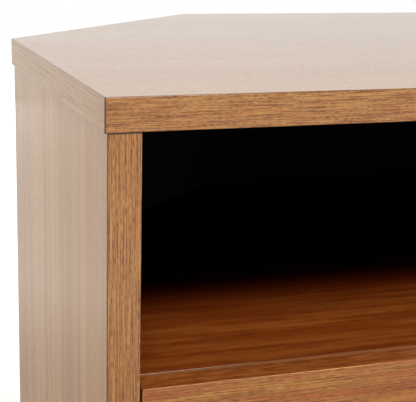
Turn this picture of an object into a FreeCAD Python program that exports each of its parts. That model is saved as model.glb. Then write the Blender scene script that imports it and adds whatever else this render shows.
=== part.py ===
import FreeCAD, Part
import math
import os

# Corner television cabinet of oak-effect board, to stand across the corner of a room.
# X runs along the front, -Y is the front, +Z is up, and the floor is Z = 0.
# Pairs are drawn on the right-hand side and mirrored to the left.

V = FreeCAD.Vector
X = V(1, 0, 0)
Y = V(0, 1, 0)
Z = V(0, 0, 1)
HANDS = {"left": -1, "right": 1}

# Carcass boards
top_width = 1000.0
top_depth = 400.0
end_depth = 237.0
overall_height = 430.0
bay_height = 122.0
base_height = 55.0
board = 16.0
hardboard = 3.0
top_overhang = 1.5
front_overhang = 0.9
plinth_setback = 32.0
bearer_setback = 30.0
bearer_end_gap = 20.0
back_gap = 1.0
cable_hole = 60.0

# Glued edge bands and the easing of their arrises
band = 0.8
arris = 0.5

# Drawer fronts and boxes
front_board = 18.0
front_side_gap = 1.2
front_centre_gap = 2.6
front_shelf_gap = 0.4
front_rise = 3.0
wall_board = 12.0
wall_top_gap = 38.0
box_end_gap = 8.0
groove_rise = 8.0
groove_depth = 5.0
groove_play = 0.2

# Bar handles
handle_projection = 32.0
handle_length = 168.0
handle_centres = 128.0
handle_bar = 10.0
handle_post = 9.0
handle_bevel = 1.5
handle_thread = 12.0

# Roller runners
runner_gap = 12.4
steel = 1.2
roller_diameter = 17.0
roller_width = 6.4
roller_gap = 0.3
roller_play = 0.4
roller_bevel = 0.6
axle_diameter = 5.0
axle_clearance = 0.05
axle_head_diameter = 8.0
axle_head = 0.8
rail_flange = 10.4
rail_rise = 12.0
rail_end_gap = 10.0
flange_gap = 1.5
slide_base = 4.0
slide_lip_gap = 0.8
slide_end_gap = 3.0
roller_inset = 12.0
slot_length = 14.0
slot_width = 4.8

# Cams, bolts and dowels
cam_diameter = 15.0
cam_depth = 12.5
wall_cam_diameter = 12.0
wall_cam_depth = 10.2
cam_distance = 24.0
cam_slot = 1.4
cam_slot_depth = 2.0
cap_diameter = 17.0
cap_thickness = 1.4
cap_bevel = 0.6
bolt_diameter = 5.0
bolt_thread = 11.0
bolt_bore = 7.2
bolt_head_diameter = 7.0
bolt_head = 3.0
dowel_diameter = 8.0
dowel_in_face = 10.0
dowel_in_edge = 20.0
dowel_pitch = 32.0
fit = 0.1
overrun = 1.0

# Screws, pins, brackets and glides
screw_diameter = 3.5
screw_head_diameter = 6.6
screw_cover = 2.2
screw_stagger = 7.0
cross_span = 0.56
cross_width = 0.15
cross_depth = 0.24
divider_screw_diameter = 5.0
divider_screw_head_diameter = 9.0
divider_screw_grip = 34.0
handle_screw_diameter = 4.0
handle_screw_head_diameter = 8.0
handle_screw_head = 2.4
handle_screw_grip = 9.0
pin_diameter = 1.4
pin_length = 18.0
pin_head_diameter = 3.6
pin_head = 0.6
bracket_leg = 22.0
bracket_wall = 3.0
bracket_width = 26.0
glide_height = 4.0
glide_diameter = 14.0
glide_bevel = 1.2
glide_nail_diameter = 2.4
glide_nail_length = 12.0

# Places along the boards, as shares of the length that they lie on
side_cam_shares = (0.2, 0.76)
slant_cam_share = 0.5
divider_cam_shares = (0.14, 0.86)
divider_dowel_shares = (0.3, 0.7)
shelf_screw_shares = (0.22, 0.78)
shelf_dowel_shares = (0.42, 0.58)
base_screw_shares = (0.1, 0.9)
rail_screw_shares = (0.3, 0.8)
rail_slot_shares = (0.46, 0.64)
slide_screw_shares = (0.25, 0.75)
slide_slot_shares = (0.16, 0.5)
wall_cam_shares = (0.3, 0.8)
wall_screw_shares = (0.25, 0.75)
plinth_bracket_shares = (-0.75, 0.0, 0.75)
bearer_bracket_shares = (-0.7, 0.7)
plinth_glide_shares = (-0.35, 0.35)
bearer_glide_shares = (-0.85, 0.85)
side_glide_shares = (0.12, 0.85)
slant_glide_shares = (0.35, 0.85)
rail_pin_shares = (-0.9, -0.54, -0.18, 0.18, 0.54, 0.9)
slant_pin_shares = (0.3, 0.55, 0.8)
cable_hole_share = 0.24
handle_share = 0.5

# Plan of the cabinet
root_two = math.sqrt(2)
half_top = top_width / 2
front_y = (handle_projection - front_overhang - top_depth) / 2
rear_y = front_y + top_depth
slant_sum = half_top + front_y + end_depth
carcass_front = front_y + front_overhang
back_face_y = rear_y - top_overhang
frame_rear_y = back_face_y - hardboard
inner = top_overhang + board
inner_x = half_top - inner
shelf_front = carcass_front + front_board + front_shelf_gap
front_back_y = carcass_front + front_board


def end_corner(inset):
    """Plan corner of a side and its slanted rear, set in from the edge of the top."""
    x = half_top - inset
    return x, slant_sum - inset * root_two - x


def slant_x(inset, y):
    """Where the slanted rear, set in from the edge of the top, stands at a given depth."""
    return slant_sum - inset * root_two - y


# Levels
under_top = overall_height - board
shelf_top = under_top - bay_height
shelf_under = shelf_top - board
base_top = base_height + board

# Runner planes and levels, from the wall of the bay inwards and from the rail's underside upwards
side_end_y = end_corner(inner)[1]
roller_radius = roller_diameter / 2
rail_z = base_top + rail_rise
rail_height = roller_diameter + 2 * (roller_gap + steel)
rail_rear = side_end_y - rail_end_gap
rail_roller_y = shelf_front + roller_inset
flange_front = rail_roller_y + roller_radius + flange_gap
slide_flange = rail_height + flange_gap
slide_top = slide_flange + steel
slide_rear = rail_rear - slide_end_gap
slide_roller_y = slide_rear - roller_inset
rail_roller_z = slide_flange - roller_gap - roller_radius
slide_roller_z = steel + roller_gap + roller_radius
drawer_travel = slide_roller_y - rail_roller_y - roller_diameter - flange_gap

# Drawer box
box_rear = side_end_y - box_end_gap
wall_low = rail_z + slide_base + steel
wall_top = shelf_under - wall_top_gap
bottom_low = wall_low + groove_rise
front_low = base_height + front_rise
front_inner_x = front_centre_gap / 2
front_outer_x = inner_x - front_side_gap
front_middle_x = (front_inner_x + front_outer_x) / 2
screw_length = board - screw_cover + steel

solids = {}
bores = {}


def add(node, shape, hand=1):
    """Puts a piece into a node, mirrored when it belongs on the left."""
    solids.setdefault(node, []).append(handed(shape, hand))


def bore(node, shape, hand=1):
    """Notes a hole to be cut from a node when all its pieces are known."""
    bores.setdefault(node, []).append(handed(shape, hand))


def handed(shape, hand):
    """The shape itself, or its mirror image across the middle of the cabinet."""
    return shape if hand > 0 else shape.mirror(V(0, 0, 0), X)


# Shape helpers

def prism(points, low, high):
    """Upright solid on a plan outline."""
    corners = [V(x, y, low) for x, y in points]
    return Part.Face(Part.makePolygon(corners + corners[:1])).extrude(Z * (high - low))


def section(points, start, end):
    """Solid with a profile of X and Z points drawn from one depth to another."""
    corners = [V(x, start, z) for x, z in points]
    return Part.Face(Part.makePolygon(corners + corners[:1])).extrude(Y * (end - start))


def slab(xs, ys, zs):
    """Rectangular solid between pairs of limits."""
    return Part.makeBox(xs[1] - xs[0], ys[1] - ys[0], zs[1] - zs[0], V(xs[0], ys[0], zs[0]))


def rod(start, direction, diameter, length):
    """Round bar."""
    return Part.makeCylinder(diameter / 2, length, start, direction)


def joined(shapes):
    """One solid from touching or crossing shapes."""
    return shapes[0].fuse(shapes[1:]).removeSplitter()


def place(shape, origin, along, face):
    """Moves a fitting drawn along +Z, with its visible side towards +X, to its place."""
    across = along.cross(face)
    matrix = FreeCAD.Matrix(
        face.x, across.x, along.x, origin.x,
        face.y, across.y, along.y, origin.y,
        face.z, across.z, along.z, origin.z,
        0, 0, 0, 1)
    moved = shape.copy()
    moved.Placement = FreeCAD.Placement(matrix)
    return moved


def outer_edges(solid, face_normal):
    """Edges of the outermost flat face along a direction."""
    reach = max(vertex.Point.dot(face_normal) for vertex in solid.Vertexes)
    edges = []
    for edge in solid.Edges:
        if all(abs(vertex.Point.dot(face_normal) - reach) < fit for vertex in edge.Vertexes):
            edges.append(edge)
    return edges


def soften(solid, radius, face_normal, run):
    """Rounds the arrises of the outermost face that follow the direction run."""
    chosen = []
    for edge in outer_edges(solid, face_normal):
        start, end = edge.Vertexes
        if abs((end.Point - start.Point).dot(run)) > edge.Length / root_two:
            chosen.append(edge)
    return solid.makeFillet(radius, chosen)


def bevel_rims(solid, size, axis_ends):
    """Bevels the rims of a round bar at the ends that the directions point to."""
    rims = []
    for direction in axis_ends:
        rims += [edge for edge in outer_edges(solid, direction) if edge.Closed]
    return solid.makeChamfer(size, rims)


# Fittings, drawn with the joint face of the two boards at Z = 0

def cam_bolt():
    """Bolt screwed into the face of one board, with its head in the cam of the other."""
    shank = rod(Z * -bolt_thread, Z, bolt_diameter, bolt_thread + cam_distance)
    return joined([shank, rod(Z * (cam_distance - bolt_head), Z, bolt_head_diameter, bolt_head)])


def cam_disc(diameter, depth, thickness):
    """Locking cam let into the face of a board, hollow for the bolt head and slotted for a driver."""
    face = thickness / 2
    half_pocket = bolt_head_diameter / 2 + fit
    half_slot = cam_slot / 2
    half_cross = diameter / 4
    centre = Z * cam_distance
    disc = rod(X * (face - depth) + centre, X, diameter, depth)
    pocket = slab((-half_pocket, half_pocket), (-half_pocket, half_pocket),
                  (cam_distance - diameter, cam_distance + fit))
    slot_x = (face - cam_slot_depth, face + overrun)
    slot = slab(slot_x, (-half_slot, half_slot), (cam_distance - half_cross, cam_distance + half_cross))
    cross = slab(slot_x, (-half_cross, half_cross), (cam_distance - half_slot, cam_distance + half_slot))
    return disc.cut([pocket, slot, cross])


def cam_bores(diameter, depth, thickness):
    """Holes for the bolt's thread in one board, and for its stem and the cam in the other."""
    face = thickness / 2
    thread = rod(Z * -(bolt_thread + fit), Z, bolt_diameter + 2 * fit, bolt_thread + fit + overrun)
    stem = rod(Z * -overrun, Z, bolt_bore, cam_distance + overrun)
    pocket = rod(X * (face - depth - fit) + Z * cam_distance, X, diameter + 2 * fit, depth + fit + overrun)
    return thread, joined([stem, pocket])


def cam_cap():
    """Press-in cover over a cam in the open bay."""
    cap = rod(X * (board / 2) + Z * cam_distance, X, cap_diameter, cap_thickness)
    return bevel_rims(cap, cap_bevel, [X])


def wood_dowel():
    """Fluted dowel, half in each board."""
    return rod(Z * -dowel_in_face, Z, dowel_diameter, dowel_in_face + dowel_in_edge)


def dowel_bore():
    """Dowel hole through the joint face."""
    return rod(Z * -(dowel_in_face + fit), Z, dowel_diameter + 2 * fit, dowel_in_face + dowel_in_edge + 2 * fit)


def screw_form(length, diameter, head_diameter):
    """Countersunk head, shank and tip, with the head's top at Z = 0 and the tip towards +Z."""
    head_depth = (head_diameter - diameter) / 2
    head = Part.makeCone(head_diameter / 2, diameter / 2, head_depth)
    shank = rod(V(0, 0, 0), Z, diameter, length - diameter)
    tip = Part.makeCone(diameter / 2, fit, diameter, Z * (length - diameter))
    return joined([head, shank, tip])


def cross_recess(head_diameter):
    """Two crossed slots for a driver, sunk from Z = 0."""
    span = head_diameter * cross_span / 2
    half = head_diameter * cross_width / 2
    zs = (-overrun, head_diameter * cross_depth)
    return [slab((-span, span), (-half, half), zs), slab((-half, half), (-span, span), zs)]


def countersunk(length, diameter, head_diameter):
    """Wood screw with a cross recess in its head."""
    return screw_form(length, diameter, head_diameter).cut(cross_recess(head_diameter))


def countersunk_bore(length, diameter, head_diameter):
    """Clear hole for such a screw, open above its head."""
    hole = screw_form(length + fit, diameter + 2 * fit, head_diameter + 2 * fit)
    return joined([hole, rod(Z * -overrun, Z, head_diameter + 2 * fit, overrun)])


def cam_joint(bolt_node, cam_node, origin, along, face, hand, capped=False):
    """Cam, bolt and their holes at a carcass joint."""
    thread_bore, cam_bore = cam_bores(cam_diameter, cam_depth, board)
    add("cam_bolts", place(cam_bolt(), origin, along, face), hand)
    add("cam_discs", place(cam_disc(cam_diameter, cam_depth, board), origin, along, face), hand)
    bore(bolt_node, place(thread_bore, origin, along, face), hand)
    bore(cam_node, place(cam_bore, origin, along, face), hand)
    if capped:
        add("cam_caps", place(cam_cap(), origin, along, face), hand)


def dowel_joint(face_node, edge_node, origin, along, face, hand):
    """Dowel and its hole in both boards."""
    add("wooden_dowels", place(wood_dowel(), origin, along, face), hand)
    for node in (face_node, edge_node):
        bore(node, place(dowel_bore(), origin, along, face), hand)


def short_screw(nodes, origin, along, face, hand=1):
    """Short wood screw of the carcass, through the first node into the second."""
    add("carcass_screws", place(countersunk(screw_length, screw_diameter, screw_head_diameter),
                                origin, along, face), hand)
    for node in nodes:
        bore(node, place(countersunk_bore(screw_length, screw_diameter, screw_head_diameter),
                         origin, along, face), hand)


# Top board with its edge bands

def top_outline(inset):
    """Six-sided plan of the top, set in all round."""
    end_x, end_y = end_corner(inset)
    back_y = rear_y - inset
    back_x = slant_x(inset, back_y)
    right = [(end_x, front_y + inset), (end_x, end_y), (back_x, back_y)]
    return right + [(-x, y) for x, y in reversed(right)]


def top_bands():
    """Strips glued round the top: the end strips cover the ends of the front strip."""
    outer = top_outline(0)
    core = top_outline(band)
    front_end = half_top - band
    strips = [
        ([(-front_end, front_y), (front_end, front_y), core[0], core[5]], V(0, -1, 0), X),
        ([outer[2], outer[3], core[3], core[2]], Y, X)]
    for points, face, run in strips:
        add("top_edge_bands", soften(prism(points, under_top, overall_height), arris, face, run))
    for hand in HANDS.values():
        end = [outer[0], outer[1], core[1], (front_end, front_y)]
        slant = [outer[1], outer[2], core[2], core[1]]
        add("top_edge_bands", soften(prism(end, under_top, overall_height), arris, X, Y), hand)
        add("top_edge_bands", soften(prism(slant, under_top, overall_height), arris,
                                     (X + Y) / root_two, (Y - X) / root_two), hand)


add("top_panel", prism(top_outline(band), under_top, overall_height))
top_bands()

# Upright boards at the sides and at the slanted rear, mitred together

side_outer_x = half_top - top_overhang
side_front = carcass_front + band
for name, hand in HANDS.items():
    side = [(side_outer_x, side_front), end_corner(top_overhang), end_corner(inner), (inner_x, side_front)]
    add(name + "_side_panel", prism(side, glide_height, under_top), hand)
    slant = [end_corner(top_overhang), (slant_x(top_overhang, frame_rear_y), frame_rear_y),
             (slant_x(inner, frame_rear_y), frame_rear_y), end_corner(inner)]
    add(name + "_rear_panel", prism(slant, glide_height, under_top), hand)
    strip = slab((inner_x, side_outer_x), (carcass_front, side_front), (glide_height, under_top))
    add("carcass_edge_bands", soften(strip, arris, V(0, -1, 0), Z), hand)

# Shelf, base and dividers

def inner_outline(front):
    """Plan of a board that fills the carcass from a given front."""
    right = [(inner_x, front), end_corner(inner), (slant_x(inner, frame_rear_y), frame_rear_y)]
    return right + [(-x, y) for x, y in reversed(right)]


half_board = board / 2
board_front = shelf_front + band
add("media_shelf", prism(inner_outline(board_front), shelf_under, shelf_top))
add("base_panel", prism(inner_outline(shelf_front), base_height, base_top))
add("upper_divider", slab((-half_board, half_board), (board_front, frame_rear_y), (shelf_top, under_top)))
add("lower_divider", slab((-half_board, half_board), (board_front, frame_rear_y), (base_top, shelf_under)))
inner_strips = [
    ((-inner_x, inner_x), (shelf_under, shelf_top), X),
    ((-half_board, half_board), (shelf_top, under_top), Z),
    ((-half_board, half_board), (base_top, shelf_under), Z)]
for xs, zs, run in inner_strips:
    strip = slab(xs, (shelf_front, board_front), zs)
    add("carcass_edge_bands", soften(strip, arris, V(0, -1, 0), run))

# Hardboard back with a cable hole for each bay

back_half = slant_x(top_overhang, back_face_y)
back = slab((-back_half, back_half), (frame_rear_y, back_face_y), (base_height, under_top - back_gap))
cable_z = shelf_top + bay_height / 2
for hand in HANDS.values():
    hole_start = V(hand * back_half * cable_hole_share, frame_rear_y - overrun, cable_z)
    back = back.cut(rod(hole_start, Y, cable_hole, hardboard + 2 * overrun))
add("back_panel", back)

# Plinth and rear bearer

plinth_rear = carcass_front + plinth_setback + board
bearer_rear = frame_rear_y - bearer_setback
bearer_front = bearer_rear - board
bearer_half = slant_x(inner, bearer_rear) - bearer_end_gap
add("front_plinth", slab((-inner_x, inner_x), (plinth_rear - board, plinth_rear), (glide_height, base_height)))
add("rear_bearer", slab((-bearer_half, bearer_half), (bearer_front, bearer_rear), (glide_height, base_height)))

# Cams and dowels of the carcass

side_middle = half_top - top_overhang - half_board
side_run = side_end_y - carcass_front
slant_run = frame_rear_y - side_end_y
slant_in = V(-1, -1, 0) / root_two
slant_along = V(-1, 1, 0) / root_two
shelf_middle = shelf_top - half_board
base_middle = base_top - half_board
divider_run = frame_rear_y - shelf_front


def slant_point(share, inset, z):
    """Point on a slanted rear board, set in from the edge of the top."""
    y = side_end_y + slant_run * share
    face = V(slant_x(inner, y), y, z)
    return face - slant_in * (inner - inset)


for name, hand in HANDS.items():
    side_node = name + "_side_panel"
    slant_node = name + "_rear_panel"
    first = side_cam_shares[0]
    for share in side_cam_shares:
        y = carcass_front + side_run * share
        pitch = Y * (dowel_pitch if share == first else -dowel_pitch)
        top_point = V(side_middle, y, under_top)
        cam_joint("top_panel", side_node, top_point, -Z, -X, hand, capped=True)
        dowel_joint("top_panel", side_node, top_point + pitch, -Z, -X, hand)
        for node, z in (("media_shelf", shelf_middle), ("base_panel", base_middle)):
            point = V(inner_x, y, z)
            cam_joint(side_node, node, point, -X, -Z, hand)
            dowel_joint(side_node, node, point + pitch, -X, -Z, hand)
    top_point = slant_point(slant_cam_share, top_overhang + half_board, under_top)
    cam_joint("top_panel", slant_node, top_point, -Z, slant_in, hand, capped=True)
    for step in (-dowel_pitch, dowel_pitch):
        dowel_joint("top_panel", slant_node, top_point + slant_along * step, -Z, slant_in, hand)
    for node, z in (("media_shelf", shelf_middle), ("base_panel", base_middle)):
        point = slant_point(slant_cam_share, inner, z)
        cam_joint(slant_node, node, point, slant_in, -Z, hand)
        for step in (-dowel_pitch, dowel_pitch):
            dowel_joint(slant_node, node, point + slant_along * step, slant_in, -Z, hand)


def divider_point(share, z):
    """Point in the middle of the dividers' thickness."""
    return V(0, shelf_front + divider_run * share, z)


for share in divider_cam_shares:
    cam_joint("top_panel", "upper_divider", divider_point(share, under_top), -Z, X, 1, capped=True)
    cam_joint("media_shelf", "lower_divider", divider_point(share, shelf_under), -Z, X, 1)
for share in divider_dowel_shares:
    dowel_joint("top_panel", "upper_divider", divider_point(share, under_top), -Z, X, 1)
    dowel_joint("media_shelf", "lower_divider", divider_point(share, shelf_under), -Z, X, 1)
    dowel_joint("base_panel", "lower_divider", divider_point(share, base_top), Z, X, 1)
for share in shelf_dowel_shares:
    dowel_joint("media_shelf", "upper_divider", divider_point(share, shelf_top), Z, X, 1)

# Screws up into the dividers

divider_screw_length = board + divider_screw_grip
divider_screw_places = (
    (shelf_screw_shares, shelf_under, ("media_shelf", "upper_divider")),
    (base_screw_shares, base_height, ("base_panel", "lower_divider")))
for shares, z, nodes in divider_screw_places:
    for share in shares:
        sizes = (divider_screw_length, divider_screw_diameter, divider_screw_head_diameter)
        add("divider_screws", place(countersunk(*sizes), divider_point(share, z), Z, X))
        for node in nodes:
            bore(node, place(countersunk_bore(*sizes), divider_point(share, z), Z, X))

# Corner brackets that hold plinth and bearer to the base

def corner_bracket(facing):
    """Moulded angle with a gusset, its legs on the base above and on the board at Y = 0."""
    outline = [(0, 0), (facing * bracket_leg, 0), (facing * bracket_leg, -bracket_wall),
               (facing * bracket_wall, -bracket_wall), (facing * bracket_wall, -bracket_leg), (0, -bracket_leg)]
    gusset = [(0, 0), (facing * bracket_leg, 0), (0, -bracket_leg)]
    half = bracket_width / 2
    rib = bracket_wall / 2
    pieces = []
    for points, reach in ((outline, half), (gusset, rib)):
        corners = [V(-reach, y, z) for y, z in points]
        pieces.append(Part.Face(Part.makePolygon(corners + corners[:1])).extrude(X * (2 * reach)))
    return joined(pieces)


bracket_middle = (bracket_leg + bracket_wall) / 2
bracket_offset = (bracket_width + bracket_wall) / 4
bracket_rows = (
    ("front_plinth", plinth_bracket_shares, inner_x, plinth_rear, 1),
    ("rear_bearer", bearer_bracket_shares, bearer_half, bearer_front, -1))
for node, shares, half_length, y, facing in bracket_rows:
    for share in shares:
        corner = V(half_length * share, y, base_height)
        bracket = corner_bracket(facing)
        bracket.translate(corner)
        add("corner_brackets", bracket)
        up_point = corner + V(bracket_offset, facing * bracket_middle, -bracket_wall)
        short_screw(("corner_brackets", "base_panel"), up_point, Z, X)
        in_point = corner + V(-bracket_offset, facing * bracket_wall, -bracket_middle)
        short_screw(("corner_brackets", node), in_point, Y * -facing, X)

# Pins of the hardboard back

def back_pin(x, z):
    """Flat-headed pin driven forwards through the hardboard."""
    start = V(x, back_face_y, z)
    shank = rod(start, -Y, pin_diameter, pin_length)
    add("back_pins", joined([shank, rod(start, Y, pin_head_diameter, pin_head)]))


slant_pin_x = (slant_x(inner, frame_rear_y) + back_half) / 2
for z in (shelf_middle, base_middle):
    for share in rail_pin_shares:
        back_pin(slant_x(inner, frame_rear_y) * share, z)
for share in slant_pin_shares:
    for hand in HANDS.values():
        back_pin(hand * slant_pin_x, base_height + (under_top - base_height) * share)

# Floor glides nailed into every board that meets the floor

def floor_glide(point, node, hand=1):
    """Bevelled glide with its nail."""
    foot = rod(point - Z * glide_height, Z, glide_diameter, glide_height)
    foot = bevel_rims(foot, glide_bevel, [-Z])
    add("floor_glides", joined([foot, rod(point, Z, glide_nail_diameter, glide_nail_length)]), hand)
    hole = rod(point - Z * overrun, Z, glide_nail_diameter + 2 * fit, glide_nail_length + overrun + fit)
    bore(node, hole, hand)


for name, hand in HANDS.items():
    for share in side_glide_shares:
        floor_glide(V(side_middle, carcass_front + side_run * share, glide_height), name + "_side_panel", hand)
    for share in slant_glide_shares:
        floor_glide(slant_point(share, top_overhang + half_board, glide_height), name + "_rear_panel", hand)
for share in plinth_glide_shares:
    floor_glide(V(inner_x * share, plinth_rear - half_board, glide_height), "front_plinth")
for share in bearer_glide_shares:
    floor_glide(V(bearer_half * share, bearer_rear - half_board, glide_height), "rear_bearer")

# Runner pieces. Each is drawn in the bay beside a wall at X = 0, with the bay towards +X.

def roller(axial, y, z):
    """Nylon roller with bevelled rims and a running fit on its axle."""
    wheel = rod(V(axial, y, z), X, roller_diameter, roller_width)
    wheel = bevel_rims(wheel, roller_bevel, [X, -X])
    hole = rod(V(axial - overrun, y, z), X, axle_diameter + 2 * axle_clearance, roller_width + 2 * overrun)
    return wheel.cut(hole)


def axle(root, tip, y, z):
    """Riveted axle from a steel web at root to a head beyond the roller at tip."""
    direction = X if tip > root else -X
    head = rod(V(tip, y, z), direction, axle_head_diameter, axle_head)
    return [rod(V(root, y, z), direction, axle_diameter, abs(tip - root)), head]


rail_roller_x = steel + roller_play
slide_roller_x = runner_gap - steel - roller_play - roller_width
rail_screw_z = rail_z + rail_height / 2


def oblong(web_x, y, z):
    """Slotted hole through a steel web, for adjusting the runner."""
    start = V(web_x - overrun, y, z)
    half = (slot_length - slot_width) / 2
    through = steel + 2 * overrun
    ends = [rod(start + Y * step, X, slot_width, through) for step in (-half, half)]
    middle = slab((start.x, start.x + through), (y - half, y + half), (z - slot_width / 2, z + slot_width / 2))
    return joined(ends + [middle])


def cabinet_rail():
    """Channel of bent sheet that carries the slide's roller, with an axle in its bare front web."""
    top = rail_z + rail_height
    channel = [(0, rail_z), (rail_flange, rail_z), (rail_flange, rail_z + steel), (steel, rail_z + steel),
               (steel, top - steel), (rail_flange, top - steel), (rail_flange, top), (0, top)]
    web = slab((0, steel), (shelf_front, flange_front), (rail_z, top))
    pivot = axle(steel, rail_roller_x + roller_width + roller_play, rail_roller_y, rail_z + rail_roller_z)
    rail = joined([section(channel, flange_front, rail_rear), web] + pivot)
    run = rail_rear - shelf_front
    return rail.cut([oblong(0, shelf_front + run * share, rail_screw_z) for share in rail_slot_shares])


def drawer_slide():
    """Bent sheet under the drawer wall, its lip above the rail's roller and its axle at the rear."""
    low = rail_z + slide_base
    top = rail_z + slide_top
    lip = steel + slide_lip_gap
    web = runner_gap - steel
    profile = [(lip, top - steel), (lip, top), (runner_gap, top), (runner_gap, low + steel),
               (runner_gap + wall_board, low + steel), (runner_gap + wall_board, low), (web, low),
               (web, top - steel)]
    pivot = axle(web, slide_roller_x - roller_play, slide_roller_y, rail_z + slide_roller_z)
    slide = joined([section(profile, front_back_y, slide_rear)] + pivot)
    run = slide_rear - front_back_y
    middle_z = (wall_low + top) / 2
    return slide.cut([oblong(web, front_back_y + run * share, middle_z) for share in slide_slot_shares])


def beside(shape, wall_x, turn):
    """Sets a runner piece against a wall, with the bay to its right (1) or to its left (-1)."""
    moved = handed(shape, turn)
    moved.translate(X * wall_x)
    return moved


# Cabinet rails and their rollers

bay_walls = {"outer": (inner_x, -1, "_side_panel"), "inner": (half_board, 1, None)}
for name, hand in HANDS.items():
    for place_name, (wall_x, turn, panel) in bay_walls.items():
        rail_node = name + "_bay_rails"
        add(rail_node, beside(cabinet_rail(), wall_x, turn), hand)
        wheel = roller(rail_roller_x, rail_roller_y, rail_z + rail_roller_z)
        add(name + "_" + place_name + "_rail_roller", beside(wheel, wall_x, turn), hand)
        wall_node = name + panel if panel else "lower_divider"
        for share in rail_screw_shares:
            y = shelf_front + (rail_rear - shelf_front) * share + hand * screw_stagger
            start = V(wall_x + turn * steel, y, rail_screw_z)
            short_screw((rail_node, wall_node), start, X * -turn, Z, hand)

# Drawers

wall_outer_x = inner_x - runner_gap
wall_inner_x = half_board + runner_gap
groove = (bottom_low - groove_play, bottom_low + hardboard + groove_play)
bottom_top = bottom_low + hardboard


def drawer_front(node, hand):
    """Inset front with a banded edge all round and a groove for the bottom."""
    core_xs = (front_inner_x + band, front_outer_x - band)
    core_zs = (front_low + band, shelf_top - band)
    ys = (carcass_front, front_back_y)
    core = slab(core_xs, ys, core_zs)
    slot = slab((wall_inner_x, wall_outer_x), (front_back_y - groove_depth, front_back_y + overrun), groove)
    add(node, core.cut(slot), hand)
    strips = [
        ((front_inner_x, core_xs[0]), (front_low, shelf_top), -X, Z),
        ((core_xs[1], front_outer_x), (front_low, shelf_top), X, Z),
        (core_xs, (front_low, core_zs[0]), -Z, X),
        (core_xs, (core_zs[1], shelf_top), Z, X)]
    for xs, zs, face, run in strips:
        add(node + "_edge_bands", soften(slab(xs, ys, zs), arris, face, run), hand)


def drawer_wall(xs, inward):
    """Side wall with a groove for the bottom in the face that looks inward."""
    wall = slab(xs, (front_back_y, box_rear), (wall_low, wall_top))
    if inward > 0:
        slot_xs = (xs[1] - groove_depth, xs[1] + overrun)
    else:
        slot_xs = (xs[0] - overrun, xs[0] + groove_depth)
    return wall.cut(slab(slot_xs, (front_back_y - overrun, box_rear + overrun), groove))


def drawer_box(drawer, hand):
    """Walls, back and bottom."""
    inner_face = wall_inner_x + wall_board
    outer_face = wall_outer_x - wall_board
    add(drawer + "_outer_wall", drawer_wall((outer_face, wall_outer_x), -1), hand)
    add(drawer + "_inner_wall", drawer_wall((wall_inner_x, inner_face), 1), hand)
    add(drawer + "_back_wall", slab((inner_face, outer_face), (box_rear - wall_board, box_rear),
                                    (bottom_top, wall_top)), hand)
    reach = groove_depth - groove_play
    add(drawer + "_bottom", slab((inner_face - reach, outer_face + reach), (front_back_y - reach, box_rear),
                                 (bottom_low, bottom_top)), hand)


def front_fixings(drawer, hand):
    """Cams in the outer faces of the walls that draw the front on."""
    thread_bore, cam_bore = cam_bores(wall_cam_diameter, wall_cam_depth, wall_board)
    free_low = rail_z + slide_top
    half_wall = wall_board / 2
    for wall, x, face in (("_outer_wall", wall_outer_x - half_wall, X),
                          ("_inner_wall", wall_inner_x + half_wall, -X)):
        for share in wall_cam_shares:
            point = V(x, front_back_y, free_low + (wall_top - free_low) * share)
            add(drawer + "_cam_bolts", place(cam_bolt(), point, Y, face), hand)
            disc = cam_disc(wall_cam_diameter, wall_cam_depth, wall_board)
            add(drawer + "_cam_discs", place(disc, point, Y, face), hand)
            bore(drawer + "_front", place(thread_bore, point, Y, face), hand)
            bore(drawer + wall, place(cam_bore, point, Y, face), hand)


def box_screw(drawer, nodes, origin, along, face, hand):
    """Wood screw of the drawer box."""
    sizes = (wall_board + screw_length, screw_diameter, screw_head_diameter)
    add(drawer + "_screws", place(countersunk(*sizes), origin, along, face), hand)
    for node in nodes:
        bore(drawer + node, place(countersunk_bore(*sizes), origin, along, face), hand)


def box_screws(drawer, hand):
    """Screws through the walls into the back, and up through the slides into the walls."""
    for wall, slide, x, turn in (("_outer_wall", "_outer_slide", wall_outer_x, -1),
                                 ("_inner_wall", "_inner_slide", wall_inner_x, 1)):
        for share in wall_screw_shares:
            point = V(x, box_rear - wall_board / 2, bottom_top + (wall_top - bottom_top) * share)
            box_screw(drawer, (wall, "_back_wall"), point, X * turn, Z, hand)
        for share in slide_screw_shares:
            y = front_back_y + (slide_rear - front_back_y) * share
            point = V(x + turn * (wall_board - groove_depth) / 2, y, rail_z + slide_base)
            box_screw(drawer, (slide, wall), point, Z, X, hand)


def bar_handle(drawer, hand):
    """Round bar on two posts, drawn on by screws from inside the front."""
    z = front_low + (shelf_top - front_low) * handle_share
    bar_y = carcass_front - handle_projection + handle_bar / 2
    bar = rod(V(front_middle_x - handle_length / 2, bar_y, z), X, handle_bar, handle_length)
    bar = bevel_rims(bar, handle_bevel, [X, -X])
    pieces = [bar]
    for side in HANDS.values():
        foot = V(front_middle_x + side * handle_centres / 2, carcass_front, z)
        pieces.append(rod(foot, -Y, handle_post, carcass_front - bar_y))
        head_face = foot + Y * front_board
        shank = rod(head_face, -Y, handle_screw_diameter, front_board + handle_screw_grip)
        head = rod(head_face, Y, handle_screw_head_diameter, handle_screw_head)
        recess = [place(slot, head_face + Y * handle_screw_head, -Y, X)
                  for slot in cross_recess(handle_screw_head_diameter)]
        add(drawer + "_handle_screws", joined([shank, head]).cut(recess), hand)
        hole = rod(head_face + Y * overrun, -Y, handle_screw_diameter + 2 * fit,
                   front_board + handle_thread + overrun)
        for node in ("_front", "_handle"):
            bore(drawer + node, hole, hand)
    add(drawer + "_handle", joined(pieces), hand)


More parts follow.
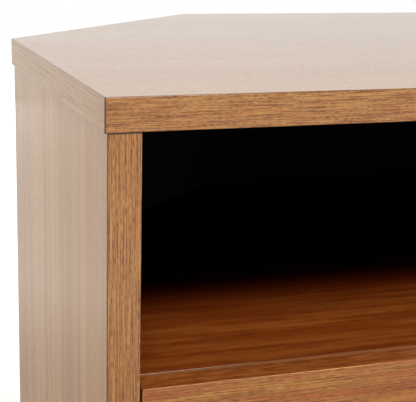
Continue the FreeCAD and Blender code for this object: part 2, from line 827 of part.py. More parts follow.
for name, hand in HANDS.items():
    drawer = name + "_drawer"
    drawer_front(drawer + "_front", hand)
    drawer_box(drawer, hand)
    for place_name, (wall_x, turn, panel) in bay_walls.items():
        add(drawer + "_" + place_name + "_slide", beside(drawer_slide(), wall_x, turn), hand)
        wheel = roller(slide_roller_x, slide_roller_y, rail_z + slide_roller_z)
        add(drawer + "_" + place_name + "_roller", beside(wheel, wall_x, turn), hand)
    front_fixings(drawer, hand)
    box_screws(drawer, hand)
    bar_handle(drawer, hand)

# Cut the holes and write one file for each node

os.makedirs("parts", exist_ok=True)
for node, pieces in solids.items():
    if node in bores:
        pieces = [piece.cut(bores[node]) for piece in pieces]
    shape = pieces[0] if len(pieces) == 1 else Part.makeCompound(pieces)
    shape.exportStep("parts/" + node + ".step")

print("nodes", len(solids), "drawer travel", round(drawer_travel, 2))
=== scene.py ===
import math

import bpy
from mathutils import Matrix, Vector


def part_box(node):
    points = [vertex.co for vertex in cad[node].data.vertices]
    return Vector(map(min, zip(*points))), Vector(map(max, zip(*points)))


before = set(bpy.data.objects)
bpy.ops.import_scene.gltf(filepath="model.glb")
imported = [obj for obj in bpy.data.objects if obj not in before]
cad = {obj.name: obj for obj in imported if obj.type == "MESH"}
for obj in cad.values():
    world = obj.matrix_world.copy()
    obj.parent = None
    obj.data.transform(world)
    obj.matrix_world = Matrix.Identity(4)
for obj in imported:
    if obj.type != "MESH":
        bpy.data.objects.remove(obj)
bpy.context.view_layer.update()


# Base, and the plinth and bearer that stand under it: 16 mm chipboard faced on both sides with
# printed oak foil, grain along the front. They are sawn to size, so edges and holes show raw chips.

def linear(code):
    """sRGB hex to linear RGBA: a straight foot up to 0.04045 and a power of 2.4 above it."""
    parts = [int(code[i:i + 2], 16) / 255 for i in (0, 2, 4)]
    return [c / 12.92 if c <= 0.04045 else ((c + 0.055) / 1.055) ** 2.4 for c in parts] + [1.0]


def put(tree, kind, sockets=None, **settings):
    """Adds a node, sets its properties and fills its sockets: an output becomes a link, all else a value."""
    made = tree.nodes.new("ShaderNode" + kind)
    for name, value in settings.items():
        setattr(made, name, value)
    for name, value in (sockets or {}).items():
        if isinstance(value, bpy.types.NodeSocket):
            tree.links.new(value, made.inputs[name])
        else:
            made.inputs[name].default_value = value
    return made.outputs


def new_finish(name):
    """An empty material, and the tree that its nodes go into."""
    finish = bpy.data.materials.new(name)
    finish.use_nodes = True
    finish.node_tree.nodes.clear()
    return finish, finish.node_tree


def dress(finish, *names):
    """Gives CAD nodes a finish in place of the one that they came with."""
    for name in names:
        cad[name].data.materials.clear()
        cad[name].data.materials.append(finish)


def grain_spot(tree, along, shift=(0, 0, 0)):
    """Place on the board in millimetres, turned so that the grain runs along the first axis."""
    turn = {"x": (0, 0, 0), "y": (0, 0, -math.pi / 2), "z": (0, math.pi / 2, 0)}[along]
    here = put(tree, "TexCoord")["Object"]
    return put(tree, "Mapping", {"Vector": here, "Scale": (1000, 1000, 1000), "Rotation": turn,
                                 "Location": shift})[0]


def streaks(tree, spot, length, width, detail=2.0, bend=0.0):
    """Noise drawn out along the grain: the place is divided by a length along it and a width across it."""
    drawn = put(tree, "VectorMath", {0: spot, 1: (1 / length, 1 / width, 1 / width)}, operation="MULTIPLY")[0]
    return put(tree, "TexNoise", {"Vector": drawn, "Scale": 1.0, "Detail": detail, "Roughness": 0.55,
                                  "Distortion": bend})[0]


def oak_print(tree, spot, tones, ring, line, ink):
    """Printed oak, four tones laid over each other. Bands 15 mm wide drift from golden to tawny, and growth
    rings, a length and a width in millimetres, turn them russet. Dark lines of a given length and width,
    added to others ten times as long, are inked over that, then pores, and fine fibres shade it all. Real
    pores and fibres are finer, and are drawn about 0.4 mm wide so that they show."""
    golden, tawny, russet, dark = [linear(t) for t in tones]
    short = put(tree, "Math", {0: streaks(tree, spot, *line, detail=0.0), 1: 0.45}, operation="MULTIPLY")[0]
    long = streaks(tree, spot, 10 * line[0], line[1], detail=0.0)
    lines = put(tree, "Math", {0: long, 1: 0.7, 2: short}, operation="MULTIPLY_ADD")[0]
    bands = streaks(tree, spot, length=380, width=15, detail=1.0)
    rings = streaks(tree, spot, *ring, detail=1.0, bend=0.2)
    pores = streaks(tree, spot, length=2.6, width=0.4, detail=1.0)
    layers = ((bands, 0.36, 0.64, 1.0, tawny), (rings, 0.34, 0.66, 1.0, russet),
              (lines, 0.48, 0.75, ink, dark), (pores, 0.62, 0.70, 0.45, dark))
    colour = golden
    for value, low, high, most, tone in layers:
        share = put(tree, "MapRange", {"Value": value, "From Min": low, "From Max": high, "To Max": most},
                    interpolation_type="SMOOTHSTEP")[0]
        colour = put(tree, "Mix", {0: share, 6: colour, 7: tone}, data_type="RGBA")[2]
    fibres = streaks(tree, spot, length=40, width=0.45, detail=1.0)
    shade = put(tree, "MapRange", {"Value": fibres, "From Min": 0.3, "From Max": 0.7, "To Min": 0.93,
                                   "To Max": 1.07})[0]
    colour = put(tree, "VectorMath", {0: colour, "Scale": shade}, operation="SCALE")[0]
    raised = put(tree, "Math", {0: fibres, 1: 0.135}, operation="MULTIPLY")[0]
    # The last layer's share is that of the pores, which are pressed in.
    relief = put(tree, "Math", {0: raised, 1: share}, operation="SUBTRACT")[0]
    return colour, relief


def sawn(tree, axis, along):
    """1 on the faces that look along an axis, either way, and 0 on the rest, or the other way round. Axes 0, 1
    and 2 are X, Y and Z."""
    towards = put(tree, "SeparateXYZ", {0: put(tree, "TexCoord")["Normal"]})[axis]
    squarely = put(tree, "Math", {0: towards}, operation="ABSOLUTE")[0]
    return put(tree, "MapRange", {"Value": squarely, "From Min": 0.6, "From Max": 0.8, "To Min": 1 - along,
                                  "To Max": along}, interpolation_type="SMOOTHSTEP")[0]


# Printed foil under satin lacquer: a soft mirror at low angles, broken by pores pressed in a few
# hundredths of a millimetre. Where it is sawn through, dull chips of about 2 mm show, each of its own shade.
def foil_finish(tree, colour, relief, bare=None, matt=None, shine=0.5, smooth=0.10):
    """Foil of a given colour, raw chips where bare is 1, and a dull stain over it where matt is 1. Shine is
    the strength of the lacquer's reflections, and smooth its roughness between the pores."""
    chips_per_metre = 480.0
    pore_depth = 0.00004
    rough = put(tree, "MapRange", {"Value": relief, "From Min": -0.36, "From Max": 0.09, "To Min": 0.32,
                                   "To Max": smooth})[0]
    if bare is not None:
        here = put(tree, "TexCoord")["Object"]
        cells = put(tree, "TexVoronoi", {"Vector": here, "Scale": chips_per_metre})
        tint = put(tree, "SeparateColor", {0: cells["Color"]})[0]
        gaps = put(tree, "MapRange", {"Value": cells["Distance"], "From Min": 0.55, "From Max": 0.95},
                   interpolation_type="SMOOTHSTEP")[0]
        chips = put(tree, "Mix", {0: tint, 6: linear("B08A5E"), 7: linear("D6B98C")}, data_type="RGBA")[2]
        chips = put(tree, "Mix", {0: gaps, 6: chips, 7: linear("7E5C38")}, data_type="RGBA")[2]
        colour = put(tree, "Mix", {0: bare, 6: colour, 7: chips}, data_type="RGBA")[2]
        rough = put(tree, "Mix", {0: bare, 2: rough, 3: 0.85}, data_type="FLOAT")[0]
    if matt is not None:
        rough = put(tree, "Mix", {0: matt, 2: rough, 3: 0.95}, data_type="FLOAT")[0]
    bump = put(tree, "Bump", {"Height": relief, "Strength": 0.30, "Distance": pore_depth})[0]
    shader = put(tree, "BsdfPrincipled", {"Base Color": colour, "Roughness": rough, "IOR": 1.54,
                                          "Specular IOR Level": shine, "Normal": bump})[0]
    put(tree, "OutputMaterial", {"Surface": shader})


def faced_board(name, tones, grain, shift, ring, line, ink, axis, along, smooth=0.10):
    """Foil-faced board with the grain along one axis, sawn bare where it looks along another, or else where
    it doesn't."""
    finish, tree = new_finish(name)
    colour, relief = oak_print(tree, grain_spot(tree, grain, shift), tones, ring, line, ink)
    foil_finish(tree, colour, relief, bare=sawn(tree, axis, along), smooth=smooth)
    return finish


oak_tones = ("C4904E", "BE864A", "B67842", "5A1800")
dress(faced_board("oak_foil_base", oak_tones, "x", shift=(90, 30, 0), ring=(220, 6.0), line=(30, 1.6), ink=0.4,
                  axis=2, along=False), "base_panel")
dress(faced_board("oak_foil_plinth", oak_tones, "x", shift=(10, 70, 0), ring=(200, 5.0), line=(24, 1.4), ink=0.4,
                  axis=1, along=False), "front_plinth", "rear_bearer")


# Sides and dividers: the same board with the grain upright. The sides are cammed to the top, the shelf and the
# base, and each divider is cammed to the board above it and screwed on from the one below. Upper and lower
# edges stay raw.

pale_tones = ("C08B4B", "B88144", "AC743C", "5E3519")
upright_grain = {"ring": (420, 13.0), "line": (80, 1.2), "ink": 0.22}
dress(faced_board("oak_foil_side", pale_tones, "z", shift=(0, 0, 0), axis=2, along=True, **upright_grain),
      "left_side_panel", "right_side_panel")
dress(faced_board("oak_foil_divider", pale_tones, "z", shift=(140, 0, 0), axis=2, along=True, **upright_grain),
      "upper_divider", "lower_divider")


# Slanted rear boards: the same board, mitred to the sides, bevelled where the back lies on them, and cammed to
# the top, the shelf and the base. The face that looks into the bay is coloured almost black, as painted shade
# for the bay, and made matt.

rear_foil, tree = new_finish("oak_foil_rear_painted_shade_inside")
colour, relief = oak_print(tree, grain_spot(tree, "z", (70, 0, 0)), pale_tones, **upright_grain)
looks = put(tree, "SeparateXYZ", {0: put(tree, "TexCoord")["Normal"]})
inside = put(tree, "MapRange", {"Value": looks[1], "From Min": -0.4, "From Max": -0.65},
             interpolation_type="SMOOTHSTEP")[0]
# Painted shade: the face that looks into the bay is coloured almost black.
colour = put(tree, "Mix", {0: inside, 6: colour, 7: linear("060403")}, data_type="RGBA")[2]
foil_finish(tree, colour, relief, bare=sawn(tree, axis=2, along=True), matt=inside)
dress(rear_foil, "left_rear_panel", "right_rear_panel")


# Media shelf: foil-faced board, grain along the front, under a dead-flat lacquer that mirrors nothing.
# Its print is darker and redder than the other boards', as painted shade, and more painted shade
# darkens it towards the back, first red-brown and then almost black.

shaded_shelf_tones = ("763E16", "703612", "662E0D", "360F03")
shelf_painted_shade = ((-0.100, -0.045, 0.5, "6E1E06"), (-0.088, -0.01, 0.94, "2A0200"))
shelf_foil, tree = new_finish("oak_foil_shelf_dull")
colour, relief = oak_print(tree, grain_spot(tree, "x", (40, 23, 0)), shaded_shelf_tones, ring=(90, 7.0), line=(11, 4.4),
                           ink=0.28)
depth = put(tree, "SeparateXYZ", {0: put(tree, "TexCoord")["Object"]})[1]
# Painted shade: towards the back the shelf is coloured red-brown and then almost black.
for start, end, most, shade_tone in shelf_painted_shade:
    behind = put(tree, "MapRange", {"Value": depth, "From Min": start, "From Max": end, "To Max": most},
                 interpolation_type="SMOOTHSTEP")[0]
    colour = put(tree, "Mix", {0: behind, 6: colour, 7: linear(shade_tone)}, data_type="RGBA")[2]
foil_finish(tree, colour, relief, bare=sawn(tree, axis=2, along=False), shine=0.0)
dress(shelf_foil, "media_shelf")


# Bands on the front edges of the carcass: 0.8 mm printed strip, glued on hot and trimmed flush.
# On the sides and dividers the grain runs up, on the shelf along the front. The strip is darker along its
# outer corner.

stile_inner = 0.4825
stile_outer = 0.4985
shelf_low = 0.276
shelf_high = 0.292
hair = 0.0001
dark_corner_edge = 0.00075
dark_corner_full = 0.00045
band_finish, tree = new_finish("oak_edge_band_carcass")
place = put(tree, "SeparateXYZ", {0: put(tree, "TexCoord")["Object"]})
reach_x = put(tree, "Math", {0: place[0]}, operation="ABSOLUTE")[0]
above = put(tree, "Math", {0: place[2], 1: shelf_low - hair}, operation="GREATER_THAN")[0]
below = put(tree, "Math", {0: place[2], 1: shelf_high + hair}, operation="LESS_THAN")[0]
between = put(tree, "Math", {0: reach_x, 1: stile_inner}, operation="LESS_THAN")[0]
level = put(tree, "Math", {0: above, 1: below}, operation="MULTIPLY")[0]
on_shelf = put(tree, "Math", {0: level, 1: between}, operation="MULTIPLY")[0]
upright = oak_print(tree, grain_spot(tree, "z", (300, 0, 0)), oak_tones, ring=(30, 1.8), line=(3.8, 0.38), ink=0.76)
# The band on the shelf takes the shelf's darker print, which is painted shade.
lying = oak_print(tree, grain_spot(tree, "x", (500, 0, 0)), shaded_shelf_tones, ring=(24, 1.6), line=(5.0, 0.40), ink=0.6)
colour = put(tree, "Mix", {0: on_shelf, 6: upright[0], 7: lying[0]}, data_type="RGBA")[2]
relief = put(tree, "Mix", {0: on_shelf, 2: upright[1], 3: lying[1]}, data_type="FLOAT")[0]
corner = put(tree, "MapRange", {"Value": reach_x, "From Min": stile_outer - dark_corner_edge,
                                "From Max": stile_outer - dark_corner_full, "To Max": 0.75},
             interpolation_type="SMOOTHSTEP")[0]
colour = put(tree, "Mix", {0: corner, 6: colour, 7: linear("5A3A1E")}, data_type="RGBA")[2]
foil_finish(tree, colour, relief)
dress(band_finish, "carcass_edge_bands")


# Fittings that draw the carcass together: plated cam bolts, die-cast cams with brown caps over those in the
# open bays, beech dowels, countersunk screws, white corner brackets under the base, and brown floor glides.

def speckled(name, light, dark, grain, rough, depth, sockets):
    """Even finish with a fine grain: noise of that many millimetres, over patches of about 14 mm, mixes two
    tones and two values of roughness, and stands out by a depth in millimetres."""
    patches_per_metre = 70.0
    finish, tree = new_finish(name)
    here = put(tree, "TexCoord")["Object"]
    grit = put(tree, "TexNoise", {"Vector": here, "Scale": 1000 / grain, "Detail": 3.0})[0]
    patches = put(tree, "TexNoise", {"Vector": here, "Scale": patches_per_metre, "Detail": 2.0})[0]
    both = put(tree, "Math", {0: grit, 1: patches}, operation="ADD")[0]
    share = put(tree, "MapRange", {"Value": both, "From Min": 0.72, "From Max": 1.28},
                interpolation_type="SMOOTHSTEP")[0]
    tint = put(tree, "Mix", {0: share, 6: linear(light), 7: linear(dark)}, data_type="RGBA")[2]
    gloss = put(tree, "MapRange", {"Value": share, "To Min": rough[0], "To Max": rough[1]})[0]
    bump = put(tree, "Bump", {"Height": grit, "Strength": 0.5, "Distance": depth / 1000})[0]
    shader = put(tree, "BsdfPrincipled", {"Base Color": tint, "Roughness": gloss, "Normal": bump, **sockets})[0]
    put(tree, "OutputMaterial", {"Surface": shader})
    return finish


# Bright zinc plating on turned steel: a bluish mirror, slightly clouded.
plated = speckled("zinc_plated_steel", "CFD3D6", "B3B7B8", grain=0.8, rough=(0.22, 0.38), depth=0.008,
                  sockets={"Metallic": 1.0})
# Die-cast zinc as it comes from the mould: grey, dull, faintly grained.
cast = speckled("zinc_die_cast", "B4B6B7", "95979A", grain=0.5, rough=(0.40, 0.58), depth=0.02,
                sockets={"Metallic": 1.0})
# Moulded polypropylene: an even, soft sheen from the texture of a spark-eroded mould. The real texture is
# finer, and is drawn this coarse so that it shows.
brown = speckled("polypropylene_brown", "6E4628", "5A3820", grain=0.35, rough=(0.42, 0.56), depth=0.02,
                 sockets={"IOR": 1.49})
white = speckled("polypropylene_white", "E8E6E0", "DAD7CF", grain=0.35, rough=(0.42, 0.56), depth=0.02,
                 sockets={"IOR": 1.49})
dress(plated, "cam_bolts", "divider_screws", "carcass_screws")
dress(cast, "cam_discs")
dress(brown, "cam_caps", "floor_glides")
dress(white, "corner_brackets")

# Turned beech: pale pink-brown with short darker rays along the dowel.
beech_tones = ("DDBE94", "D4B286", "CCA67A", "9A7048")
beech, tree = new_finish("beech_turned")
colour, relief = oak_print(tree, grain_spot(tree, "z"), beech_tones, ring=(30, 1.6), line=(3.5, 0.5), ink=0.4)
foil_finish(tree, colour, relief)
dress(beech, "wooden_dowels")


# Rails on the bay walls and the wheels pinned to them: roll-formed steel with white epoxy powder,
# and moulded nylon wheels that turn as the drawer runs.

# Powder coat: a soft sheen over orange peel of about a millimetre.
powder = speckled("epoxy_powder_white", "EAE7DF", "DEDAD0", grain=1.3, rough=(0.34, 0.46), depth=0.03,
                  sockets={"IOR": 1.5})
# Natural nylon: milky, slightly yellow, with a dull moulded skin.
nylon = speckled("nylon_moulded", "EFECE2", "E2DDD0", grain=0.6, rough=(0.38, 0.50), depth=0.015,
                 sockets={"IOR": 1.53, "Subsurface Weight": 0.12, "Subsurface Radius": (0.002, 0.0015, 0.001)})
dress(powder, "left_bay_rails", "right_bay_rails")
dress(nylon, "left_outer_rail_roller", "left_inner_rail_roller", "right_outer_rail_roller",
      "right_inner_rail_roller")


# Back: 3 mm hardboard, pinned on from behind, smooth on the side that looks into the bays, which is coloured
# almost black as painted shade, and with the mesh of the press on the other.

# Hardboard: dull brown fibre with clouds of a darker brown, and small knots in rows where it lay on the mesh.
# Real fibres are finer than a millimetre, and are drawn that coarse so that they show.
def hardboard(name, axis, sign, smooth):
    """Pressed fibre board: a smooth face in two tones, and on the face that looks along the axis by the sign,
    knots in a square mesh, the product of two sines."""
    mesh = 2.4
    fibres_per_metre = 900.0
    clouds_per_metre = 14.0
    knot_height = 0.0002
    finish, tree = new_finish(name)
    here = put(tree, "TexCoord")
    outwards = put(tree, "SeparateXYZ", {0: here["Normal"]})[axis]
    meshed = put(tree, "MapRange", {"Value": outwards, "From Min": sign * 0.3, "From Max": sign * 0.7},
                 interpolation_type="SMOOTHSTEP")[0]
    turns = put(tree, "VectorMath", {0: here["Object"], 1: [2000 * math.pi / mesh] * 3}, operation="MULTIPLY")[0]
    wires = put(tree, "SeparateXYZ", {0: put(tree, "VectorMath", {0: turns}, operation="SINE")[0]})
    knots = put(tree, "Math", {0: wires[0], 1: wires[3 - axis]}, operation="MULTIPLY")[0]
    fuzz = put(tree, "TexNoise", {"Vector": here["Object"], "Scale": fibres_per_metre, "Detail": 3.0})[0]
    clouds = put(tree, "TexNoise", {"Vector": here["Object"], "Scale": clouds_per_metre, "Detail": 2.0})[0]
    layers = ((fuzz, 0.35, 0.65, 1.0, "9A6E44"), (clouds, 0.35, 0.7, 0.4, "6A4526"))
    raw = linear("7A5230")
    for value, low, high, most, tone in layers:
        share = put(tree, "MapRange", {"Value": value, "From Min": low, "From Max": high, "To Max": most},
                    interpolation_type="SMOOTHSTEP")[0]
        raw = put(tree, "Mix", {0: share, 6: raw, 7: linear(tone)}, data_type="RGBA")[2]
    # The smooth face has the clouds alone, whose share is the last.
    face = put(tree, "Mix", {0: share, 6: linear(smooth[0]), 7: linear(smooth[1])}, data_type="RGBA")[2]
    tint = put(tree, "Mix", {0: meshed, 6: face, 7: raw}, data_type="RGBA")[2]
    height = put(tree, "Math", {0: knots, 1: meshed, 2: fuzz}, operation="MULTIPLY_ADD")[0]
    rough = put(tree, "MapRange", {"Value": fuzz, "To Min": 0.62, "To Max": 0.85})[0]
    bump = put(tree, "Bump", {"Height": height, "Strength": 0.5, "Distance": knot_height})[0]
    shader = put(tree, "BsdfPrincipled", {"Base Color": tint, "Roughness": rough, "IOR": 1.5,
                                          "Specular IOR Level": 0.15, "Normal": bump})[0]
    put(tree, "OutputMaterial", {"Surface": shader})
    return finish


# Painted shade: the smooth face towards the bays is coloured almost black.
dress(hardboard("hardboard_painted_shade_inside", axis=1, sign=1, smooth=("060403", "0A0604")), "back_panel")
dress(plated, "back_pins")


# Top: the same foil-faced board, six-sided in plan, grain along the front, cammed down on to the
# sides, the rear boards and the upper divider.

# Painted shade: the top's print is darker than the fronts' to offset the strong light of the key lamp on it.
shaded_top_tones = ("B0834A", "AC7E44", "A6773E", "603A22")
dress(faced_board("oak_foil_top", shaded_top_tones, "x", shift=(0, 0, 55), ring=(700, 45.0), line=(40, 0.7), ink=0.42,
                  axis=2, along=False), "top_panel")


# Bands round the top: printed strip glued to each edge in turn, the ends last, so their cut
# ends show as a thin dark line at the front corners, and glue darkens the upper rim. The grain
# follows every edge, along the slants at 45 degrees too.

half_top = 0.5
end_y = 0.05255
rear_y = 0.21555
strip = 0.0008
top_band, tree = new_finish("oak_edge_band_top")
here = put(tree, "TexCoord")
place = put(tree, "SeparateXYZ", {0: here["Object"]})
looks = put(tree, "SeparateXYZ", {0: here["Normal"]})
reach_x = put(tree, "Math", {0: place[0]}, operation="ABSOLUTE")[0]
on_end = put(tree, "Math", {0: reach_x, 1: half_top - strip - hair / 2}, operation="GREATER_THAN")[0]
past_end = put(tree, "Math", {0: place[1], 1: end_y}, operation="GREATER_THAN")[0]
before_rear = put(tree, "Math", {0: place[1], 1: rear_y - strip}, operation="LESS_THAN")[0]
on_slant = put(tree, "Math", {0: past_end, 1: before_rear}, operation="MULTIPLY")[0]
on_side = put(tree, "Math", {0: on_end, 1: on_slant}, operation="MAXIMUM")[0]
diagonal = 1000 * math.sqrt(0.5)
along = put(tree, "Math", {0: place[1], 1: reach_x}, operation="SUBTRACT")[0]
across = put(tree, "Math", {0: place[1], 1: reach_x}, operation="ADD")[0]
slanted = put(tree, "CombineXYZ", {0: along, 1: across, 2: place[2]})[0]
slanted = put(tree, "Mapping", {"Vector": slanted, "Scale": (diagonal, diagonal, 1000)})[0]
spot = put(tree, "Mix", {0: on_slant, 4: grain_spot(tree, "y", (900, 0, 0)), 5: slanted}, data_type="VECTOR")[1]
long_grain = oak_print(tree, spot, pale_tones, ring=(60, 2.2), line=(9, 0.55), ink=0.46)
short_grain = oak_print(tree, grain_spot(tree, "x", (700, 0, 0)), oak_tones, ring=(9.0, 2.0), line=(2.4, 0.40),
                        ink=0.70)
colour = put(tree, "Mix", {0: on_side, 6: short_grain[0], 7: long_grain[0]}, data_type="RGBA")[2]
relief = put(tree, "Mix", {0: on_side, 2: short_grain[1], 3: long_grain[1]}, data_type="FLOAT")[0]
rim = put(tree, "MapRange", {"Value": looks[2], "From Min": 0.15, "From Max": 0.5, "To Max": 0.75},
          interpolation_type="SMOOTHSTEP")[0]
colour = put(tree, "Mix", {0: rim, 6: colour, 7: linear("5A2A10")}, data_type="RGBA")[2]
forwards = put(tree, "MapRange", {"Value": looks[1], "From Min": -0.6, "From Max": -0.9, "To Max": 0.85},
               interpolation_type="SMOOTHSTEP")[0]
cut = put(tree, "Math", {0: on_end, 1: forwards}, operation="MULTIPLY")[0]
colour = put(tree, "Mix", {0: cut, 6: colour, 7: linear("4A2E18")}, data_type="RGBA")[2]
foil_finish(tree, colour, relief)
dress(top_band, "top_edge_bands")


# Drawer boxes: 12 mm board wrapped in a pale oak foil, screwed and cammed together, with a hardboard
# bottom in a groove, smooth white inside. Slides of powder-coated steel carry a nylon wheel each.

wall_tones = ("CFAC7C", "C8A472", "BC9462", "86623A")
wall_grain = {"ring": (160, 5.0), "line": (20, 1.2), "ink": 0.4}
side_wall = faced_board("oak_foil_drawer_side", wall_tones, "y", shift=(200, 0, 0), axis=1, along=True, **wall_grain)
back_wall = faced_board("oak_foil_drawer_back", wall_tones, "x", shift=(260, 0, 0), axis=0, along=True, **wall_grain)
drawer_bottom = hardboard("hardboard_white_inside", axis=2, sign=-1, smooth=("E4E0D6", "DAD5C8"))
for drawer in ("left_drawer", "right_drawer"):
    dress(side_wall, drawer + "_outer_wall", drawer + "_inner_wall")
    dress(back_wall, drawer + "_back_wall")
    dress(drawer_bottom, drawer + "_bottom")
    dress(powder, drawer + "_outer_slide", drawer + "_inner_slide")
    dress(nylon, drawer + "_outer_roller", drawer + "_inner_roller")
    dress(plated, drawer + "_cam_bolts", drawer + "_screws", drawer + "_handle_screws")
    dress(cast, drawer + "_cam_discs")


# Drawer fronts: 18 mm foil-faced board with the grain along the front, and bands on all four edges. The lacquer
# is duller than the top's, so the handle shows in it only as a blur. The band's upper face is coloured darker, as
# painted shade, with a painted highlight along its rear corner.

front_tones = ("C28946", "BA7B40", "B26938", "5A1600")
front_grain = {"ring": (40, 2.2), "line": (4.6, 0.42), "ink": 0.70}
front_lacquer = 0.28
dress(faced_board("oak_foil_drawer_front", front_tones, "x", shift=(1100, 0, 0), axis=1, along=False,
                  smooth=front_lacquer, **front_grain), "left_drawer_front", "right_drawer_front")

shaded_ledge_tones = ("985A2A", "905024", "82441A", "4A1C08")
front_low = 0.058
highlight_edge = 0.004
highlight_full = 0.002
front_band, tree = new_finish("oak_edge_band_drawer")
here = put(tree, "TexCoord")
place = put(tree, "SeparateXYZ", {0: here["Object"]})
upwards = put(tree, "SeparateXYZ", {0: here["Normal"]})[2]
over = put(tree, "Math", {0: place[2], 1: shelf_high - strip - hair / 2}, operation="GREATER_THAN")[0]
under = put(tree, "Math", {0: place[2], 1: front_low + strip + hair / 2}, operation="LESS_THAN")[0]
lengthwise = put(tree, "Math", {0: over, 1: under}, operation="MAXIMUM")[0]
spot = put(tree, "Mix", {0: lengthwise, 4: grain_spot(tree, "z", (1300, 0, 0)), 5: grain_spot(tree, "x")},
           data_type="VECTOR")[1]
bright = oak_print(tree, spot, front_tones, **front_grain)
# Painted shade: the upper face takes a darker print than the front.
deep = oak_print(tree, spot, shaded_ledge_tones, ring=(12, 2.4), line=(5.0, 0.9), ink=0.66)
front_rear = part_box("left_drawer_front_edge_bands")[1][1]
# Painted highlight: a pale strip along the rear corner of the upper face.
painted_highlight = put(tree, "MapRange", {"Value": place[1], "From Min": front_rear - highlight_edge,
                                 "From Max": front_rear - highlight_full, "To Max": 0.8},
              interpolation_type="SMOOTHSTEP")[0]
deep_colour = put(tree, "Mix", {0: painted_highlight, 6: deep[0], 7: linear("845632")}, data_type="RGBA")[2]
ledge = put(tree, "MapRange", {"Value": upwards, "From Min": 0.75, "From Max": 0.97},
            interpolation_type="SMOOTHSTEP")[0]
colour = put(tree, "Mix", {0: ledge, 6: bright[0], 7: deep_colour}, data_type="RGBA")[2]
foil_finish(tree, colour, bright[1], smooth=front_lacquer)
dress(front_band, "left_drawer_front_edge_bands", "right_drawer_front_edge_bands")


# Handles: a round bar on two posts, cast in zinc and plated, each held by two screws through the
# drawer front.

# Nickel plate, brushed along the handle to a satin sheen: a warm grey mirror drawn out across the strokes.
# Real strokes are some hundredths of a millimetre wide, and are drawn coarser so that they show.
stroke_depth = 0.00003
satin, tree = new_finish("nickel_brushed_satin")
spot = grain_spot(tree, "x")
strokes = streaks(tree, spot, length=16, width=0.18, detail=2.0)
clouds = streaks(tree, spot, length=30, width=12, detail=1.0)
share = put(tree, "MapRange", {"Value": strokes, "From Min": 0.3, "From Max": 0.7},
            interpolation_type="SMOOTHSTEP")[0]
tint = put(tree, "Mix", {0: share, 6: linear("C6C1B8"), 7: linear("ACA79E")}, data_type="RGBA")[2]
sheen = put(tree, "Math", {0: strokes, 1: clouds}, operation="ADD")[0]
rough = put(tree, "MapRange", {"Value": sheen, "From Min": 0.7, "From Max": 1.3, "To Min": 0.24,
                               "To Max": 0.38})[0]
bump = put(tree, "Bump", {"Height": strokes, "Strength": 0.4, "Distance": stroke_depth})[0]
shader = put(tree, "BsdfPrincipled", {"Base Color": tint, "Metallic": 1.0, "Roughness": rough, "Anisotropic": 0.4,
                                      "Normal": bump})[0]
put(tree, "OutputMaterial", {"Surface": shader})
dress(satin, "left_drawer_handle", "right_drawer_handle")


# Floor: a sheet of matt white paper 8 m square, which the camera sees white further off. Reflections see a
# painted shadow on it near the object, and painted light that grows paler and slightly warm with distance, and
# paler again behind the rear lamp. It throws little light back into the bays.

scene = bpy.context.scene
half_sheet = 4.0
shade_full = 0.78
shade_end = 1.15
lift_start = 0.5
lift_end = 1.6
lamp_line = 2.5
beyond_start = 2.44
beyond_end = 2.86
corners = [(-half_sheet, -half_sheet, 0), (half_sheet, -half_sheet, 0), (half_sheet, half_sheet, 0),
           (-half_sheet, half_sheet, 0)]
floor_mesh = bpy.data.meshes.new("floor")
floor_mesh.from_pydata(corners, [], [(0, 1, 2, 3)])
floor = bpy.data.objects.new("floor", floor_mesh)
scene.collection.objects.link(floor)
floor_finish, tree = new_finish("matt_white_paper")
path = put(tree, "LightPath")
far = put(tree, "VectorMath", {0: put(tree, "TexCoord")["Object"]}, operation="LENGTH")["Value"]
# Painted shadow: reflections see the paper darker near the object.
near = put(tree, "MapRange", {"Value": far, "From Min": shade_end, "From Max": shade_full, "To Max": 0.38},
           interpolation_type="SMOOTHSTEP")[0]
shaded = put(tree, "Math", {0: near, 1: path["Is Glossy Ray"]}, operation="MULTIPLY")[0]
dark = put(tree, "Math", {0: path["Is Diffuse Ray"], 1: shaded}, operation="MAXIMUM")[0]
tone = put(tree, "Mix", {0: dark, 6: linear("BEBBB6"), 7: linear("1E1D1C")}, data_type="RGBA")[2]
paper = put(tree, "BsdfDiffuse", {"Color": tone})[0]
lift = put(tree, "MapRange", {"Value": far, "From Min": lift_start, "From Max": lift_end, "To Min": 0.6,
                              "To Max": 1.0})[0]
# Painted light: reflections see the paper glow, more with distance up to the rear lamp and more again beyond it.
reach = put(tree, "Math", {0: far, 1: lamp_line}, operation="MINIMUM")[0]
cubed = put(tree, "Math", {0: reach, 1: 3.0}, operation="POWER")[0]
beyond = put(tree, "MapRange", {"Value": far, "From Min": beyond_start, "From Max": beyond_end, "To Min": 0.36,
                                "To Max": 0.68}, interpolation_type="SMOOTHSTEP")[0]
painted_glow = put(tree, "Math", {0: cubed, 1: 0.0105, 2: beyond}, operation="MULTIPLY_ADD")[0]
clear = put(tree, "Math", {0: 1.0, 1: near}, operation="SUBTRACT")[0]
mirrored = put(tree, "Math", {0: painted_glow, 1: clear}, operation="MULTIPLY")[0]
mirrored = put(tree, "Math", {0: mirrored, 1: path["Is Glossy Ray"]}, operation="MULTIPLY")[0]
seen = put(tree, "Math", {0: path["Is Camera Ray"], 1: path["Is Transmission Ray"]}, operation="MAXIMUM")[0]
glow = put(tree, "Math", {0: seen, 1: lift, 2: mirrored}, operation="MULTIPLY_ADD")[0]
warmth = put(tree, "Mix", {0: seen, 6: linear("FEFFF8"), 7: linear("FFFFFF")}, data_type="RGBA")[2]
lit = put(tree, "Emission", {"Color": warmth, "Strength": glow})[0]
put(tree, "OutputMaterial", {"Surface": put(tree, "AddShader", {0: paper, 1: lit})[0]})
floor_mesh.materials.append(floor_finish)


# Lamps and surroundings: one broad soft lamp high in front, soft fill low at the sides and behind, and
# surroundings that the camera sees white. Reflections see them half as bright in front as behind.

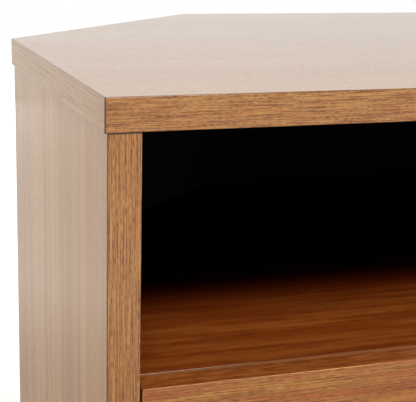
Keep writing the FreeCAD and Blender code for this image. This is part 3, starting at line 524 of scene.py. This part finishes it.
def soft_lamp(name, place, aim, width, height, power, mirrored=False):
    """Rectangular soft box turned to face a point. Only the key shows in reflections."""
    lamp = bpy.data.lights.new(name, "AREA")
    lamp.shape = "RECTANGLE"
    lamp.size, lamp.size_y, lamp.energy = width, height, power
    box = bpy.data.objects.new(name, lamp)
    away = [p - a for p, a in zip(place, aim)]
    turn = math.atan2(away[0], -away[1])
    tilt = math.atan2(math.hypot(away[0], away[1]), away[2])
    box.location = place
    box.visible_glossy = mirrored
    box.rotation_euler = (tilt, 0, turn)
    scene.collection.objects.link(box)


soft_lamp("key_front", (-0.45, -1.75, 2.20), (-0.15, -0.12, 0.30), width=1.8, height=0.75, power=92, mirrored=True)
soft_lamp("fill_left", (-2.2, 0.35, 0.5), (-0.5, 0, 0.25), width=1.6, height=0.9, power=25.5)
soft_lamp("fill_right", (2.2, 0.35, 0.5), (0.5, 0, 0.25), width=1.6, height=0.9, power=25.5)
soft_lamp("fill_rear", (0, 2.4, 0.6), (0, 0.2, 0.25), width=1.8, height=1.0, power=22)

world = bpy.data.worlds.new("studio")
scene.world = world
world.use_nodes = True
tree = world.node_tree
tree.nodes.clear()
way = put(tree, "SeparateXYZ", {0: put(tree, "TexCoord")["Generated"]})
behind = put(tree, "MapRange", {"Value": way[1], "From Min": -0.1, "From Max": 0.5},
             interpolation_type="SMOOTHSTEP")[0]
gloss = put(tree, "MapRange", {"Value": behind, "To Min": 0.5, "To Max": 1.0})[0]
aside = put(tree, "MapRange", {"Value": way[0], "From Min": 0.32, "From Max": 0.55, "To Min": 1.0,
                               "To Max": 0.93})[0]
gloss = put(tree, "Math", {0: gloss, 1: aside}, operation="MULTIPLY")[0]
soft = put(tree, "MapRange", {"Value": behind, "To Min": 0.0, "To Max": 0.15})[0]
path = put(tree, "LightPath")
seen = put(tree, "Math", {0: path["Is Camera Ray"], 1: path["Is Transmission Ray"]}, operation="MAXIMUM")[0]
level = put(tree, "Mix", {0: path["Is Glossy Ray"], 2: soft, 3: gloss}, data_type="FLOAT")[0]
level = put(tree, "Mix", {0: seen, 2: level, 3: 1.0}, data_type="FLOAT")[0]
put(tree, "OutputWorld", {"Surface": put(tree, "Background", {"Color": (1, 1, 1, 1), "Strength": level})[0]})
scene.view_settings.view_transform = "Standard"


# Camera: stands at the left of the front, a little above the top, and looks down on its corner.

focal_pixels = 1168.3
picture_width = 416
lens = bpy.data.cameras.new("corner_view")
lens.sensor_width = 36.0
lens.lens = focal_pixels * lens.sensor_width / picture_width
camera = bpy.data.objects.new("corner_view", lens)
camera.location = (-0.62110, -0.67114, 0.50867)
camera.rotation_euler = [math.radians(a) for a in (76.0933, -1.2961, -18.8810)]
scene.collection.objects.link(camera)
scene.camera = camera
